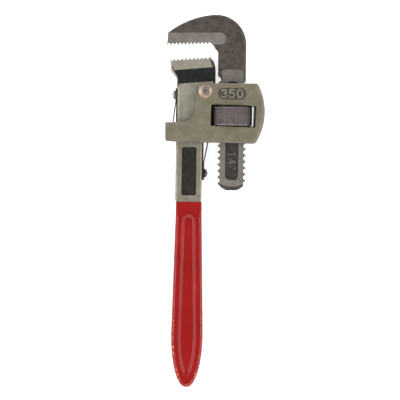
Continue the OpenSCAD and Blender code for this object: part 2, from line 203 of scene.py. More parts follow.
def make_floor():
    """Plain pale floor that takes shadows and that camera and mirror rays see as white."""
    corners = [(FLOOR_HALF * x, FLOOR_HALF * y, 0) for x, y in ((-1, -1), (1, -1), (1, 1), (-1, 1))]
    mesh = mesh_from("floor", corners, [(0, 1, 2, 3)])
    tree, shader = new_finish("floor_white")
    ray = added(tree, "LightPath")
    seen = maths("MAXIMUM", ray["Is Camera Ray"], ray["Is Glossy Ray"])
    seen = maths("MAXIMUM", seen, ray["Is Transmission Ray"])
    feed(shader, {
        "Base Color": (0.86, 0.86, 0.86, 1),
        "Roughness": 0.9,
        "Specular IOR Level": 0.1,
        "Emission Color": (1, 1, 1, 1),
        "Emission Strength": maths("MULTIPLY", seen, FLOOR_GLOW),
    })
    mesh.materials.append(bpy.data.materials["floor_white"])
    floor = placed("floor", mesh)


def make_lights():
    """Soft light all round, dimmer from above, and three soft boxes."""
    world = bpy.data.worlds.new("studio")
    bpy.context.scene.world = world
    world.use_nodes = True
    tree = world.node_tree
    height = added(tree, "SeparateXYZ", Vector=added(tree, "TexCoord")["Generated"])["Z"]
    sky = mixed(ramp(height, 0.45, 0.8), (0.95, 0.98, 1.02), (0.25, 0.257, 0.265))
    feed(tree.nodes["Background"], {"Color": sky, "Strength": 1.35})
    for name, place, length, width, power in SOFTBOXES:
        lamp = bpy.data.lights.new(name, "AREA")
        lamp.shape = "RECTANGLE"
        lamp.size, lamp.size_y, lamp.energy = length, width, power
        box = placed(name, lamp)
        box.location = place
        box.rotation_euler = Vector(place).to_track_quat("Z", "Y").to_euler()


# ---- materials

EDGE_TINT = (0.3, 0.3, 0.3, 1)  # tarnish keeps the metal from mirroring the white floor at its edges
RUST = (0.24, 0.13, 0.06)
REDS = (0.25, 0.0026, 0.0015), (0.291, 0.0034, 0.0022)
BARE_CHIP = (0.80, 0.46, 0.2)  # metal under the red coating


def ground_steel(name, light, dark, turn=0, rough=(0.34, 0.5), metallic=0.6):
    """Ground faces: fine grinding streaks, cloudy tarnish and a few rust specks."""
    tree, shader = new_finish(name)
    plain = coords(tree)
    clouds = ramp(noise(plain, 0.16, 4.0), 0.34, 0.68)
    streaks = noise(coords(tree, (7.0, 0.3, 1.0), turn), 1.0, 2.0)
    streaked = mixed(ramp(streaks, 0.3, 0.7, 0.0, 0.28), mixed(clouds, dark, light), dark)
    tarnish = ramp(noise(plain, 0.09), 0.5, 0.75, 0.0, 0.35)
    stained = mixed(tarnish, streaked, tinted(light, 0.9, 0.78, 0.6))
    specks = maths("MULTIPLY", ramp(noise(plain, 0.55, 2.0), 0.64, 0.7, 0.0, 0.75),
                   ramp(noise(plain, 2.2), 0.42, 0.6))
    coat(shader, mixed(specks, stained, RUST), ramp(streaks, 0.2, 0.8, *rough), streaks, 0.25, 0.03)
    bare(shader, metallic, 0.3)


def forged_steel(name, light, dark, scale_mm=1.6, metallic=0.5, rough=(0.42, 0.62), depth=0.09):
    """Dark forged skin: dimples, scale patches and slightly brighter rubbed edges."""
    tree, shader = new_finish(name)
    plain = coords(tree)
    patches = ramp(noise(plain, 0.22, 5.0, 0.6), 0.36, 0.66)
    dimples = noise(plain, 1 / scale_mm)
    fine = ramp(noise(plain, 1.0, 2.0), 0.5, 0.66, 0.0, 0.6)
    pinkish = mixed(fine, mixed(patches, dark, light), tinted(light, 1.25, 1.05, 1.08))
    colour = mixed(worn_edges(tree, 0.52, 0.6, 0.4), pinkish, tinted(light, 1.5, 1.5, 1.45))
    coat(shader, colour, ramp(dimples, 0.25, 0.75, *rough), dimples, 0.5, depth)
    bare(shader, metallic)


def black_paint(name, colour):
    tree, shader = new_finish(name)
    plain = coords(tree)
    dust = ramp(noise(plain, 0.3, 4.0), 0.35, 0.7)
    ripple = noise(plain, 0.8)
    dusty = mixed(dust, colour, tinted(colour, 1.7, 1.7, 1.6))
    coat(shader, dusty, ramp(ripple, 0.3, 0.7, 0.36, 0.5), ripple, 0.3, 0.06)


def red_coat(name):
    """Glossy red coating with chips along the rims, most at the handle's end, that show pale metal."""
    tree, shader = new_finish(name)
    plain = coords(tree)
    place = added(tree, "SeparateXYZ", Vector=plain)
    low_end = ramp(place["Y"], -92.0, -104.0, 0.0, 0.085)
    flakes = maths("ADD", noise(plain, 0.7, 2.0, 0.7), low_end)
    off_middle = ramp(maths("ABSOLUTE", place["Z"]), 3.4, 4.6)
    rims = maths("MULTIPLY", worn_edges(tree, 0.51, 0.525), off_middle)
    chips = maths("MULTIPLY", rims, ramp(flakes, 0.705, 0.73))
    shade = mixed(ramp(noise(plain, 0.06), 0.3, 0.7), *REDS)
    ripple = noise(plain, 0.12, 2.0)
    coat(shader, mixed(chips, shade, BARE_CHIP), ramp(ripple, 0.3, 0.7, 0.1, 0.16), ripple, 0.3, 0.25, 0.45)


def make_materials():
    """All finishes; paint() looks them up by name."""
    dull = (0.5, 0.65)
    ground_steel("bar_ground", (0.322, 0.292, 0.226), (0.247, 0.223, 0.171))
    ground_steel("block_ground", (0.395, 0.379, 0.30), (0.318, 0.302, 0.235))
    # lighter, duller steel for rims and edges: a painted highlight along rounded rims, and the bare strip
    # left of the black paint
    ground_steel("bar_edge", (0.40, 0.355, 0.30), (0.31, 0.27, 0.225), 0, dull, 0.35)
    ground_steel("housing_ground", (0.282, 0.253, 0.181), (0.221, 0.198, 0.139), 90)
    # darker copy of the housing steel for its rounded back rim and bottom edge: painted shade
    ground_steel("housing_rim", (0.26, 0.232, 0.17), (0.20, 0.178, 0.13), 90, dull, 0.5)
    ground_steel("jaw_ground", (0.305, 0.273, 0.243), (0.224, 0.20, 0.177))
    ground_steel("shank_ground", (0.28, 0.25, 0.22), (0.217, 0.194, 0.168))
    ground_steel("heel_teeth", (0.26, 0.25, 0.20), (0.18, 0.17, 0.14))
    ground_steel("digits", (0.34, 0.325, 0.265), (0.27, 0.257, 0.207))
    forged_steel("heel_back", (0.12, 0.095, 0.075), (0.075, 0.06, 0.048))
    forged_steel("housing_dark", (0.13, 0.108, 0.086), (0.08, 0.066, 0.053))
    forged_steel("jaw_forged", (0.108, 0.092, 0.080), (0.066, 0.056, 0.048), 1.1)
    forged_steel("slot_floor", (0.072, 0.061, 0.054), (0.046, 0.039, 0.034))
    forged_steel("thread_steel", (0.17, 0.145, 0.125), (0.11, 0.095, 0.082))
    forged_steel("shank_digits", (0.16, 0.138, 0.122), (0.115, 0.10, 0.088))
    forged_steel("nut_dark", (0.212, 0.181, 0.168), (0.153, 0.13, 0.122), 0.9, 0.3, dull, 0.02)
    # darker colour for the knurl's grooves: painted shade
    forged_steel("nut_groove", (0.052, 0.044, 0.041), (0.036, 0.030, 0.028), 0.9,
                 0.3, (0.55, 0.7), 0.02)
    # light grey for the upper spring rivet's dome: a painted highlight
    forged_steel("rivet_grey", (0.46, 0.45, 0.43), (0.34, 0.33, 0.315), 1.2)
    forged_steel("rivet_warm", (0.42, 0.345, 0.30), (0.29, 0.24, 0.205), 1.4,
                 0.95, (0.36, 0.5), 0.05)
    # orange painted reflection on the lower rim of the pivot rivet
    forged_steel("rivet_stain", (0.46, 0.26, 0.10), (0.30, 0.18, 0.08), 0.8)
    # dark peen mark, also used for a painted shade ring round the rim
    forged_steel("rivet_mark", (0.30, 0.24, 0.19), (0.15, 0.12, 0.095), 0.8,
                 0.8, (0.4, 0.55), 0.15)
    forged_steel("spring_blue", (0.05, 0.05, 0.052), (0.028, 0.028, 0.03), 2.5,
                 0.8, (0.26, 0.4), 0.01)
    forged_steel("spring_worn", (0.17, 0.18, 0.165), (0.11, 0.117, 0.108), 2.0,
                 0.8, (0.3, 0.45), 0.02)
    # near-black painted shade for the window walls and for the cheek's curved edge over the bar
    black_paint("wall_soot", (0.014, 0.013, 0.012))
    # dark painted shade for the shank slot's walls, the outline round the shank digits and the nut's upper
    # end
    black_paint("slot_soot", (0.024, 0.020, 0.018))
    black_paint("black_paint", (0.010, 0.010, 0.009))
    black_paint("panel_paint", (0.017, 0.0155, 0.013))
    red_coat("red_coat")


# ---- outlines

def arc(centre, radius, start, end, spacing=0.8):
    """Points on an arc from start to end, in degrees, about spacing apart."""
    length = abs(radians(end - start)) * radius
    count = max(2, round(length / spacing))
    angles = np.radians(np.linspace(start, end, count + 1))
    return [(centre[0] + radius * cos(a), centre[1] + radius * sin(a)) for a in angles]


def path(points, spacing=1.2):
    """The same path with points added on its long straight stretches."""
    out = [points[0]]
    for a, b in zip(points, points[1:]):
        count = max(1, round(dist(a, b) / spacing))
        out += [(a[0] + (b[0] - a[0]) * k / count, a[1] + (b[1] - a[1]) * k / count)
                for k in range(1, count + 1)]
    return out


def rimmed(points, rim):
    """Gives each point the same rim radius, or one that runs evenly from rim[0] to rim[1]."""
    first, last = rim if isinstance(rim, tuple) else (rim, rim)
    count = max(1, len(points) - 1)
    return [(x, y, first + (last - first) * k / count) for k, (x, y) in enumerate(points)]


def straight(points, rim, spacing=1.2):
    return rimmed(path(points, spacing), rim)


def curve(centre, radius, start, end, rim, spacing=0.8):
    return rimmed(arc(centre, radius, start, end, spacing), rim)


def joined(*stretches):
    """One outline from several stretches, without doubled points."""
    out = []
    for p in (point for stretch in stretches for point in stretch):
        if not out or dist(p[:2], out[-1][:2]) > 0.02:
            out.append(p)
    if dist(out[0][:2], out[-1][:2]) < 0.02:
        out.pop()
    return out


def rectangle(x0, y0, x1, y1, radius, spacing=0.5):
    left, low, right, high = x0 + radius, y0 + radius, x1 - radius, y1 - radius
    corners = [(right, low), (right, high), (left, high), (left, low)]
    return [p for k, c in enumerate(corners) for p in arc(c, radius, 90 * k - 90, 90 * k, spacing)]


def filleted(corners, radii):
    """Closed outline with each corner rounded by its own radius."""
    out = []
    for k, (corner, radius) in enumerate(zip(corners, radii)):
        corner = Vector(corner)
        before = (Vector(corners[k - 1]) - corner).normalized()
        after = (Vector(corners[(k + 1) % len(corners)]) - corner).normalized()
        if radius == 0:
            out.append(tuple(corner))
            continue
        half = before.angle(after) / 2
        reach = radius / tan(half)
        centre = corner + (before + after).normalized() * (radius / sin(half))
        first = corner + before * reach - centre
        last = corner + after * reach - centre
        start = degrees(atan2(first.y, first.x))
        sweep = degrees(atan2(first.x * last.y - first.y * last.x, first.dot(last)))
        out += arc(centre, radius, start, start + sweep, 0.5)
    return out


def turned_point(point, turn):
    a = radians(turn)
    return (point[0] * cos(a) - point[1] * sin(a),
            point[0] * sin(a) + point[1] * cos(a))


def teeth(start, slope, count, pitch, depth, side):
    """Saw-tooth line from the first tip to the last, tips a little blunt; side 1 points up."""
    blunt = 0.16
    points = []
    for k in range(2 * count - 1):
        middle, level = pitch * k / 2, -side * depth * (k % 2)
        points += [(middle - blunt, level), (middle + blunt, level)]
    points[0] = (0.0, 0.0)
    points = [turned_point(p, slope) for p in points]
    return [(start[0] + x, start[1] + y) for x, y in points]


def outward(points):
    """Mitred outward direction at each corner of an outline that runs anticlockwise."""
    edges = np.roll(points, -1, 0) - points
    edges /= np.linalg.norm(edges, axis=1)[:, None]
    after = np.stack([edges[:, 1], -edges[:, 0]], 1)
    before = np.roll(after, 1, 0)
    share = np.clip(1 + (before * after).sum(1), 0.5, 2)
    return (before + after) / share[:, None]


def smooth(value, low, high):
    t = np.clip((value - low) / (high - low), 0, 1)
    return t * t * (3 - 2 * t)


def smooth_low(a, b, softness):
    """The lower of a and b, with a soft change of that width between them."""
    h = np.maximum(softness - np.abs(a - b), 0) / softness
    return np.minimum(a, b) - h * h * softness / 4


# ---- solids

def mesh_from(name, points, faces):
    mesh = bpy.data.meshes.new(name)
    mesh.from_pydata([tuple(p) for p in points], [], faces)
    mesh.update()
    return mesh


def ring_body(name, rings, ends=True):
    """Tube through rings of equally many points, closed at its first and last ring."""
    n = len(rings[0])
    faces = [(k * n + i, k * n + (i + 1) % n, (k + 1) * n + (i + 1) % n, (k + 1) * n + i)
             for k in range(len(rings) - 1) for i in range(n)]
    if ends:
        faces += [range(n)[::-1], range((len(rings) - 1) * n, len(rings) * n)]
    return placed(name, mesh_from(name, np.concatenate(rings), faces))


def lifted(flat, z):
    """Outline points at height z, which is one number or one for each point."""
    return np.column_stack([flat, np.broadcast_to(z, len(flat))])


def rim_rings(points, rims, half, steps):
    """Rings from the middle plane's side over a rim of each point's own radius to the face."""
    away = outward(points)
    quarter = [pi / 2 * k / steps for k in range(steps + 1)]
    return [lifted(points - away * (rims * (1 - cos(t)))[:, None],
                   half - rims + rims * sin(t)) for t in quarter]


def with_back(rings):
    """The same rings, after their mirror images on the back."""
    return [ring * (1, 1, -1) for ring in reversed(rings)] + rings


def rounded_slab(name, outline, half):
    """Solid of thickness 2 * half, whose rims are rounded by each outline point's own radius."""
    outline = np.array(outline, float)
    return ring_body(name, with_back(rim_rings(outline[:, :2], outline[:, 2], half, 5)))


def prism(outline, low, high, draw=0.0, spread=0.0):
    """Prism between two heights; draw takes its low end in, spread takes its high end out."""
    points = np.array(outline, float)
    away = outward(points)
    return ring_body("cutter", [lifted(points - away * draw, low), lifted(points + away * spread, high)])


def turned(piece, matrix):
    piece.data.transform(matrix)
    if matrix.determinant() < 0:
        piece.data.flip_normals()
    return piece


def lathe(name, profile, place=(0, 0, 0), direction=(0, 0, 1), turns=64):
    """Body of revolution: profile is (radius, height) from one end of the axis to the other."""
    spin = Vector(direction).to_track_quat("Z", "Y").to_matrix().to_4x4()
    angles = [2 * pi * k / turns for k in range(turns)]
    points, faces, rows = [], [], []
    for radius, height in profile:
        ring = [(radius * cos(a), radius * sin(a), height) for a in (angles if radius else [0])]
        rows.append([len(points) + k % len(ring) for k in range(turns)])
        points += ring
    for low, high in zip(rows, rows[1:]):
        for k in range(turns):
            m = (k + 1) % turns
            corners = list(dict.fromkeys([low[k], low[m], high[m], high[k]]))
            if len(corners) > 2:
                faces.append(corners)
    return turned(placed(name, mesh_from(name, points, faces)), Matrix.Translation(Vector(place)) @ spin)


def baked(piece):
    """Applies the piece's modifiers to its mesh."""
    graph = bpy.context.evaluated_depsgraph_get()
    mesh = bpy.data.meshes.new_from_object(piece.evaluated_get(graph))
    piece.modifiers.clear()
    piece.data = mesh


def combine(piece, other, operation):
    modifier = piece.modifiers.new("combine", "BOOLEAN")
    modifier.operation = operation
    modifier.solver = "EXACT"
    modifier.object = other
    baked(piece)
    bpy.data.objects.remove(other)


def cut(piece, *cutters):
    for cutter in cutters:
        combine(piece, cutter, "DIFFERENCE")


def both_sides(make):
    """Two of the cutters that make() draws on the front, one of them mirrored to the back."""
    return [make(), turned(make(), TO_BACK)]


def sunk(outline, face, depth, draft):
    """Cutter for a recess in the face at height face; its walls lean in by draft at the floor."""
    past = 1.0
    return prism(outline, face - depth, face + past, draft, draft * past / depth)


def scored(piece, upper, lower, flat=False):
    """Splits the sloping or the flat faces along the upright plane through both points."""
    mesh = bmesh.new()
    mesh.from_mesh(piece.data)
    least, most, lowest = (0.995, 2, -inf) if flat else (0.7, 0.995, 5)
    faces = [f for f in mesh.faces
             if least < abs(f.normal.z) < most and f.calc_center_median().y > lowest]
    edges = {e for f in faces for e in f.edges}
    verts = {v for f in faces for v in f.verts}
    across = (upper[1] - lower[1], lower[0] - upper[0], 0)
    bmesh.ops.bisect_plane(mesh, geom=[*faces, *edges, *verts], plane_co=(*upper, 0), plane_no=across)
    mesh.to_mesh(piece.data)
    mesh.free()


# ---- finished pieces

FLAT = 0.97  # a face whose normal points up this much counts as flat


def paint(piece, choose):
    """Gives each face the material that choose(x, y, z, up) names.

    z is how far the face's centre is from the middle plane; up is 1 on a flat face, 0 on a wall.
    """
    chosen = [choose(f.center.x, f.center.y, abs(f.center.z), abs(f.normal.z))
              for f in piece.data.polygons]
    names = sorted(set(chosen))
    piece.data.materials.clear()
    for name in names:
        piece.data.materials.append(bpy.data.materials[name])
    for face, name in zip(piece.data.polygons, chosen):
        face.material_index = names.index(name)


def tidy_mesh(piece, sharp_degrees):
    mesh = bmesh.new()
    mesh.from_mesh(piece.data)
    bmesh.ops.remove_doubles(mesh, verts=mesh.verts, dist=1e-4)
    bmesh.ops.dissolve_degenerate(mesh, edges=mesh.edges, dist=1e-5)
    bmesh.ops.recalc_face_normals(mesh, faces=mesh.faces)
    mesh.to_mesh(piece.data)
    mesh.free()
    for face in piece.data.polygons:
        face.use_smooth = True
    piece.data.set_sharp_from_angle(angle=radians(sharp_degrees))


def deliver(piece, body, nodes=(), sharp_degrees=35, blend=None):
    tidy_mesh(piece, sharp_degrees)
    weighted = piece.modifiers.new("weighted", "WEIGHTED_NORMAL")
    weighted.keep_sharp = True
    baked(piece)
    piece.data.transform(TO_FRAME)
    piece.data.name = piece.name
    if blend:
        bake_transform(piece)
    else:
        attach(piece, body)
    if nodes:
        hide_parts(*nodes)


# ---- raised numbers

def bow(x, y, half_width, half_height, start, end):
    """Part of an ellipse, with a point every 15 degrees."""
    angles = np.radians(np.linspace(start, end, 1 + round(abs(end - start) / 15)))
    return [(x + half_width * cos(a), y + half_height * sin(a)) for a in angles]


STROKES = {  # centre lines of the signs, 1 high
    "0": [bow(0.31, 0.5, 0.31, 0.48, 0, 360)],
    "1": [[(0.12, 0.78), (0.38, 0.97), (0.38, 0.02)]],
    "3": [bow(0.3, 0.74, 0.25, 0.23, 160, -80) + bow(0.3, 0.27, 0.29, 0.25, 75, -150)],
    "4": [[(0.45, 0.02), (0.45, 0.97), (0.03, 0.28), (0.62, 0.28)]],
    "5": [[(0.55, 0.97), (0.12, 0.97), (0.08, 0.56)] + bow(0.28, 0.31, 0.3, 0.3, 125, -145)],
    '"': [[(0.04, 0.95), (0.03, 0.78)], [(0.31, 0.95), (0.30, 0.78)]],
}


def distance_to(paths, x, y):
    """Distance from each grid point to the nearest of the paths."""
    best = np.full(x.shape, np.inf)
    for line in paths:
        for (ax, ay), (bx, by) in zip(line, line[1:]):
            dx, dy = bx - ax, by - ay
            t = np.clip(((x - ax) * dx + (y - ay) * dy) / (dx * dx + dy * dy), 0, 1)
            best = np.minimum(best, np.hypot(x - ax - t * dx, y - ay - t * dy))
    return best


def raised_number(name, text, height, pitch, stroke, rise, sink, skirt=0.0):
    """Closed relief of plain rounded strokes, centred on x = y = 0, its floor just below z = 0.

    A skirt is a flat border of that width round the strokes, just above z = 0.
    """
    spacing = 0.16
    foot = 0.04 if skirt else -sink
    lines = [[((k - len(text) / 2) * pitch + x * height, (y - 0.5) * height) for x, y in line]
             for k, letter in enumerate(text) for line in STROKES[letter]]
    margin = stroke + skirt
    points = np.array([p for line in lines for p in line])
    xs, ys = (np.linspace(low - margin, high + margin, round((high - low + 2 * margin) / spacing))
              for low, high in zip(points.min(0), points.max(0)))
    grid_x, grid_y = np.meshgrid(xs, ys, indexing="ij")
    away = distance_to(lines, grid_x, grid_y)
    top = foot + (rise - foot) * (1 - smooth(away, stroke * 0.4, stroke * 0.6))
    inside = away < stroke * 0.72 + skirt
    keep = inside[:-1, :-1] & inside[1:, :-1] & inside[:-1, 1:] & inside[1:, 1:]
    mesh = bmesh.new()
    verts = [mesh.verts.new(p) for p in zip(grid_x.ravel(), grid_y.ravel(), top.ravel())]
    for i, j in zip(*np.nonzero(keep)):
        k, row = i * len(ys) + j, len(ys)
        mesh.faces.new([verts[k], verts[k + row], verts[k + row + 1], verts[k + 1]])
    bmesh.ops.delete(mesh, geom=[v for v in mesh.verts if not v.link_faces], context="VERTS")
    under = bmesh.ops.extrude_face_region(mesh, geom=mesh.faces[:])
    for v in (e for e in under["geom"] if isinstance(e, bmesh.types.BMVert)):
        v.co.z = -2 * sink
    bmesh.ops.recalc_face_normals(mesh, faces=mesh.faces)
    data = bpy.data.meshes.new(name)
    mesh.to_mesh(data)
    mesh.free()
    return placed(name, data)


# ---- hook jaw

HOOK_TIP = box_mm("hook_jaw")[0].x
HOOK_HALF = box_mm("hook_jaw")[1].z
HOOK_TEETH_Y = 39.2  # height of the hook's first tooth, at its tip
THROAT = 10.6  # inner side of the leg
LEG_BACK = 34.2
LEG_END = 18.4  # lower end of the forged leg
LEG_CORNER = 2.4
FLAT_TOP = 19.5  # top of the machined flats
FLAT_HALF = 8.8  # half width of the flats above the thread
CROWN_CENTRE = (13.2, -7.6)
CROWN_RADIUS = 72.8
CROWN_END = 6.5  # where the flat crown turns into the round shoulder
TIP_LEAN = 0.7
THROAT_CORNER = [(2.6, 42.6), (4, 42), (5.5, 40.6), (6.8, 38.9), (8, 36.8), (9.9, 34.9)]
PAD_CENTRE = (12.3, 44.7)  # of the milled pad's round end
PAD_HALF = 5.5
PAD_DEPTH = 0.5
SHANK_X = 23.2
SHANK_RADIUS = 12.5
SHANK_HALF = 5.2  # half thickness over the two flats
SHANK_END = -83.8
END_DOME = 14.0  # radius of the shank's domed end
CHAMFER_RADIUS = 24.0  # the chamfer at the end of the flats starts on an arc
CHAMFER_Y = -56.4
CHAMFER_SLOPE = 0.62
PITCH = 5.35
GROOVE_ROOT = 9.9  # the grooves are this far from the axis at their roots
FIRST_GROOVE = 7.6
SLOT_HALF = 5.4
SLOT_TOP = 8.4
SLOT_BOTTOM = -74.8
SLOT_CORNER = 4.0
SLOT_DEPTH = 1.0


def hook_outline():
    """Crown and shoulder are two arcs that share a tangent at the top."""
    top = acos((CROWN_END - CROWN_CENTRE[0]) / CROWN_RADIUS)
    lift = CROWN_CENTRE[1] + CROWN_RADIUS * sin(top)
    shoulder = (LEG_BACK - CROWN_END) / (1 - cos(top))
    shoulder_y = lift - shoulder * sin(top)
    tip_x = HOOK_TIP + TIP_LEAN
    tip = acos((tip_x - CROWN_CENTRE[0]) / CROWN_RADIUS)
    tip_y = CROWN_CENTRE[1] + CROWN_RADIUS * sin(tip)
    top, tip = degrees(top), degrees(tip)
    nose = filleted([(HOOK_TIP, HOOK_TEETH_Y), (tip_x, tip_y), (tip_x + 6, tip_y + 4.4)], [0, 1.0, 0])
    corner_y = LEG_END + LEG_CORNER
    return joined(
        rimmed(teeth((HOOK_TIP, HOOK_TEETH_Y), 2.7, 12, 3.13, 1.9, -1), 0.12),
        straight(THROAT_CORNER, (0.3, 2.2), 0.6),
        straight([(THROAT, 33), (THROAT, corner_y)], (2.2, 2.0)),
        curve((THROAT + LEG_CORNER, corner_y), LEG_CORNER, 180, 270, (2.0, 0.8), 0.5),
        straight([(THROAT + 2.6, LEG_END), (LEG_BACK - 2.6, LEG_END)], 0.8),
        curve((LEG_BACK - LEG_CORNER, corner_y), LEG_CORNER, 270, 360, (0.8, 2.0), 0.5),
        straight([(LEG_BACK, LEG_END + 2.6), (LEG_BACK, LEG_END + 7)], (2.0, 3.0)),
        straight([(LEG_BACK, LEG_END + 7), (LEG_BACK, shoulder_y)], 3.0),
        curve((LEG_BACK - shoulder, shoulder_y), shoulder, 0, top, (3.0, 2.0)),
        curve(CROWN_CENTRE, CROWN_RADIUS, top, tip - 5, 2.0),
        curve(CROWN_CENTRE, CROWN_RADIUS, tip - 5, tip - 0.8, (2.0, 0.8)),
        rimmed(nose[-2:0:-1], (0.8, 0.7)),
        straight([(HOOK_TIP + TIP_LEAN * 0.5, (HOOK_TEETH_Y + tip_y) / 2),
                  (HOOK_TIP, HOOK_TEETH_Y + 0.1)], (0.8, 0.2), 1.0),
    )


def pad_outline():
    """The milled pad along the hook teeth, open past the tip, with a round end."""
    band = [(-55.0, -PAD_HALF)] + arc((0, 0), PAD_HALF, -90, 90, 0.5) + [(-55.0, PAD_HALF)]
    band = [turned_point(p, 0.9) for p in band]
    return [(PAD_CENTRE[0] + x, PAD_CENTRE[1] + y) for x, y in band]


def groove_share(angle, height):
    """1 in the root of the thread and 0 on its crest, none above the first groove."""
    u = (height - FIRST_GROOVE) / PITCH - angle / 360
    turn = np.minimum(np.round(u), 0)
    offset = u - turn
    runout = 0.6 + 0.65 * np.clip(angle / 180, 0, 1)
    offset = np.where((turn == 0) & (offset > 0), offset / runout, offset)
    return np.clip(1 - (2 * offset) ** 2, 0, 1)


def slot_share(x, height):
    """0 outside the long slot and 1 on its floor."""
    middle = (SLOT_TOP + SLOT_BOTTOM) / 2
    half = (SLOT_TOP - SLOT_BOTTOM) / 2
    dx = np.abs(x) - (SLOT_HALF - SLOT_CORNER)
    dy = np.abs(height - middle) - (half - SLOT_CORNER)
    outside = np.hypot(np.maximum(dx, 0), np.maximum(dy, 0)) + np.minimum(np.maximum(dx, dy), 0)
    return 1 - smooth(outside - SLOT_CORNER, -0.45, 0.1)


def chamfer_start(x):
    """Height at which the end chamfer of the flats starts, x across from the shank's axis."""
    return CHAMFER_Y - np.sqrt(CHAMFER_RADIUS ** 2 - x ** 2)


def threaded_shank():
    """Round threaded shank with two flats, each with a long sunk slot."""
    even, reach = 6.0, 7.7  # points lie evenly on the flats as far as even, and on to reach
    edge = degrees(atan2(SHANK_HALF, reach))
    side = np.linspace(-edge, edge, 53)[:-1]
    flat = np.concatenate([np.linspace(reach, even, 5)[:-1], np.linspace(even, -even, 35),
                           np.linspace(-even, -reach, 5)[1:-1]])
    front = np.degrees(np.arctan2(SHANK_HALF, flat))
    angles = np.concatenate([side, front, side + 180, front + 180])
    is_flat = np.repeat([0, 1, 0, 1], [len(side), len(front)] * 2)
    dense_end = SHANK_END + 2.4
    rows = np.concatenate([np.linspace(SHANK_END, dense_end, 17)[:-1],
                           np.linspace(dense_end, LEG_END + 2.2, 300)])
    phi, y = np.meshgrid(angles, rows)
    cosine, sine = np.cos(np.radians(phi)), np.sin(np.radians(phi))
    # The thread starts on the front face, where the flat hides its seam.
    around = np.mod(-phi + 90, 360) - 90
    root = np.minimum(GROOVE_ROOT / np.maximum(np.abs(cosine), 0.5), SHANK_RADIUS)
    radius = SHANK_RADIUS - (SHANK_RADIUS - root) * groove_share(around, y)
    dome_y = SHANK_END + sqrt(END_DOME ** 2 - 4 ** 2)
    radius = np.minimum(radius, np.sqrt(END_DOME ** 2 - np.minimum(y - dome_y, 0) ** 2))
    across = np.clip(SHANK_HALF * cosine / np.maximum(np.abs(sine), 0.3), -11, 11)
    chamfer = np.maximum(chamfer_start(across) - y, 0)
    plane = (SHANK_HALF - CHAMFER_SLOPE * chamfer) / np.maximum(np.abs(sine), 1e-3)
    rho = smooth_low(radius, plane, 0.4 + 1.8 * smooth(y, FIRST_GROOVE + 3, FIRST_GROOVE + 6))
    # Above the thread the shank widens into the leg, first at its back and then at the throat.
    back_neck = smooth(y, FIRST_GROOVE + 0.4, FIRST_GROOVE + 1.4)
    neck = smooth(y, FIRST_GROOVE + 1.6, FIRST_GROOVE + 2.6)
    x = np.minimum(rho * cosine, SHANK_RADIUS + (LEG_BACK - SHANK_X - SHANK_RADIUS) * back_neck)
    x = x * np.where(x < -FLAT_HALF, 1 + ((SHANK_X - THROAT) / SHANK_RADIUS - 1) * neck, 1)
    z = rho * sine
    z = z - np.sign(z) * SLOT_DEPTH * slot_share(x, y) * is_flat
    return ring_body("shank", np.stack([SHANK_X + x, y, z], 2))


def hook_jaw():
    jaw = rounded_slab("hook_jaw_forged", hook_outline(), HOOK_HALF)
    cut(jaw, *both_sides(lambda: sunk(pad_outline(), HOOK_HALF, PAD_DEPTH, 0.35)))
    pocket = rectangle(SHANK_X - FLAT_HALF, LEG_END - 6, SHANK_X + FLAT_HALF, FLAT_TOP, 2.4)
    depth = HOOK_HALF - SHANK_HALF + 0.05
    cut(jaw, *both_sides(lambda: sunk(pocket, HOOK_HALF, depth, 0.3)))
    combine(jaw, threaded_shank(), "UNION")

    def choose(x, y, z, up):
        across = abs(x - SHANK_X)
        if z > SHANK_HALF + 0.02 or (across > FLAT_HALF and y > FIRST_GROOVE + 2):
            milled = up > FLAT and y > 39 and abs(z - HOOK_HALF + PAD_DEPTH) < 0.03
            toothed = y < 43 and x < 2.5 and z < HOOK_HALF + 0.05
            if milled or toothed:
                return "jaw_ground"
            # the throat's sloping rim takes the dark slot colour as painted shade on the leg's inner side
            inside = x < THROAT + 2.2 and LEG_END < y < 37
            return "slot_floor" if inside and 0.4 < up < 0.98 else "jaw_forged"
        if up > FLAT and z > SHANK_HALF - 0.12:
            return "shank_ground"
        # the slot's floor keeps the dark slot colour; its walls are painted shade
        if across < SLOT_HALF and SLOT_BOTTOM < y < SLOT_TOP and z > SHANK_HALF - SLOT_DEPTH - 0.2:
            return "slot_floor" if up > FLAT else "slot_soot"
        return "slot_floor" if y < chamfer_start(across) + 0.2 and up > 0.4 else "thread_steel"

    paint(jaw, choose)
    deliver(jaw, "hook_jaw", ["hook_jaw"], 32)


def shank_number():
    """Nominal size in inches, raised on the slot floor, reading down the shank."""
    floor = SHANK_HALF - SLOT_DEPTH
    digits = raised_number("shank_number", '14"', 6.7, 6.3, 1.45, 0.55, 0.3, 0.3)
    turned(digits, Matrix.Translation((23.45, -60.2, floor)) @ Matrix.Rotation(-pi / 2, 4, "Z"))
    # the skirt round the strokes is painted dark: a painted shade outline round the digits
    paint(digits, lambda x, y, z, up: "shank_digits" if z > floor + 0.3 else "slot_soot")
    deliver(digits, "hook_jaw")


# ---- bar and heel jaw

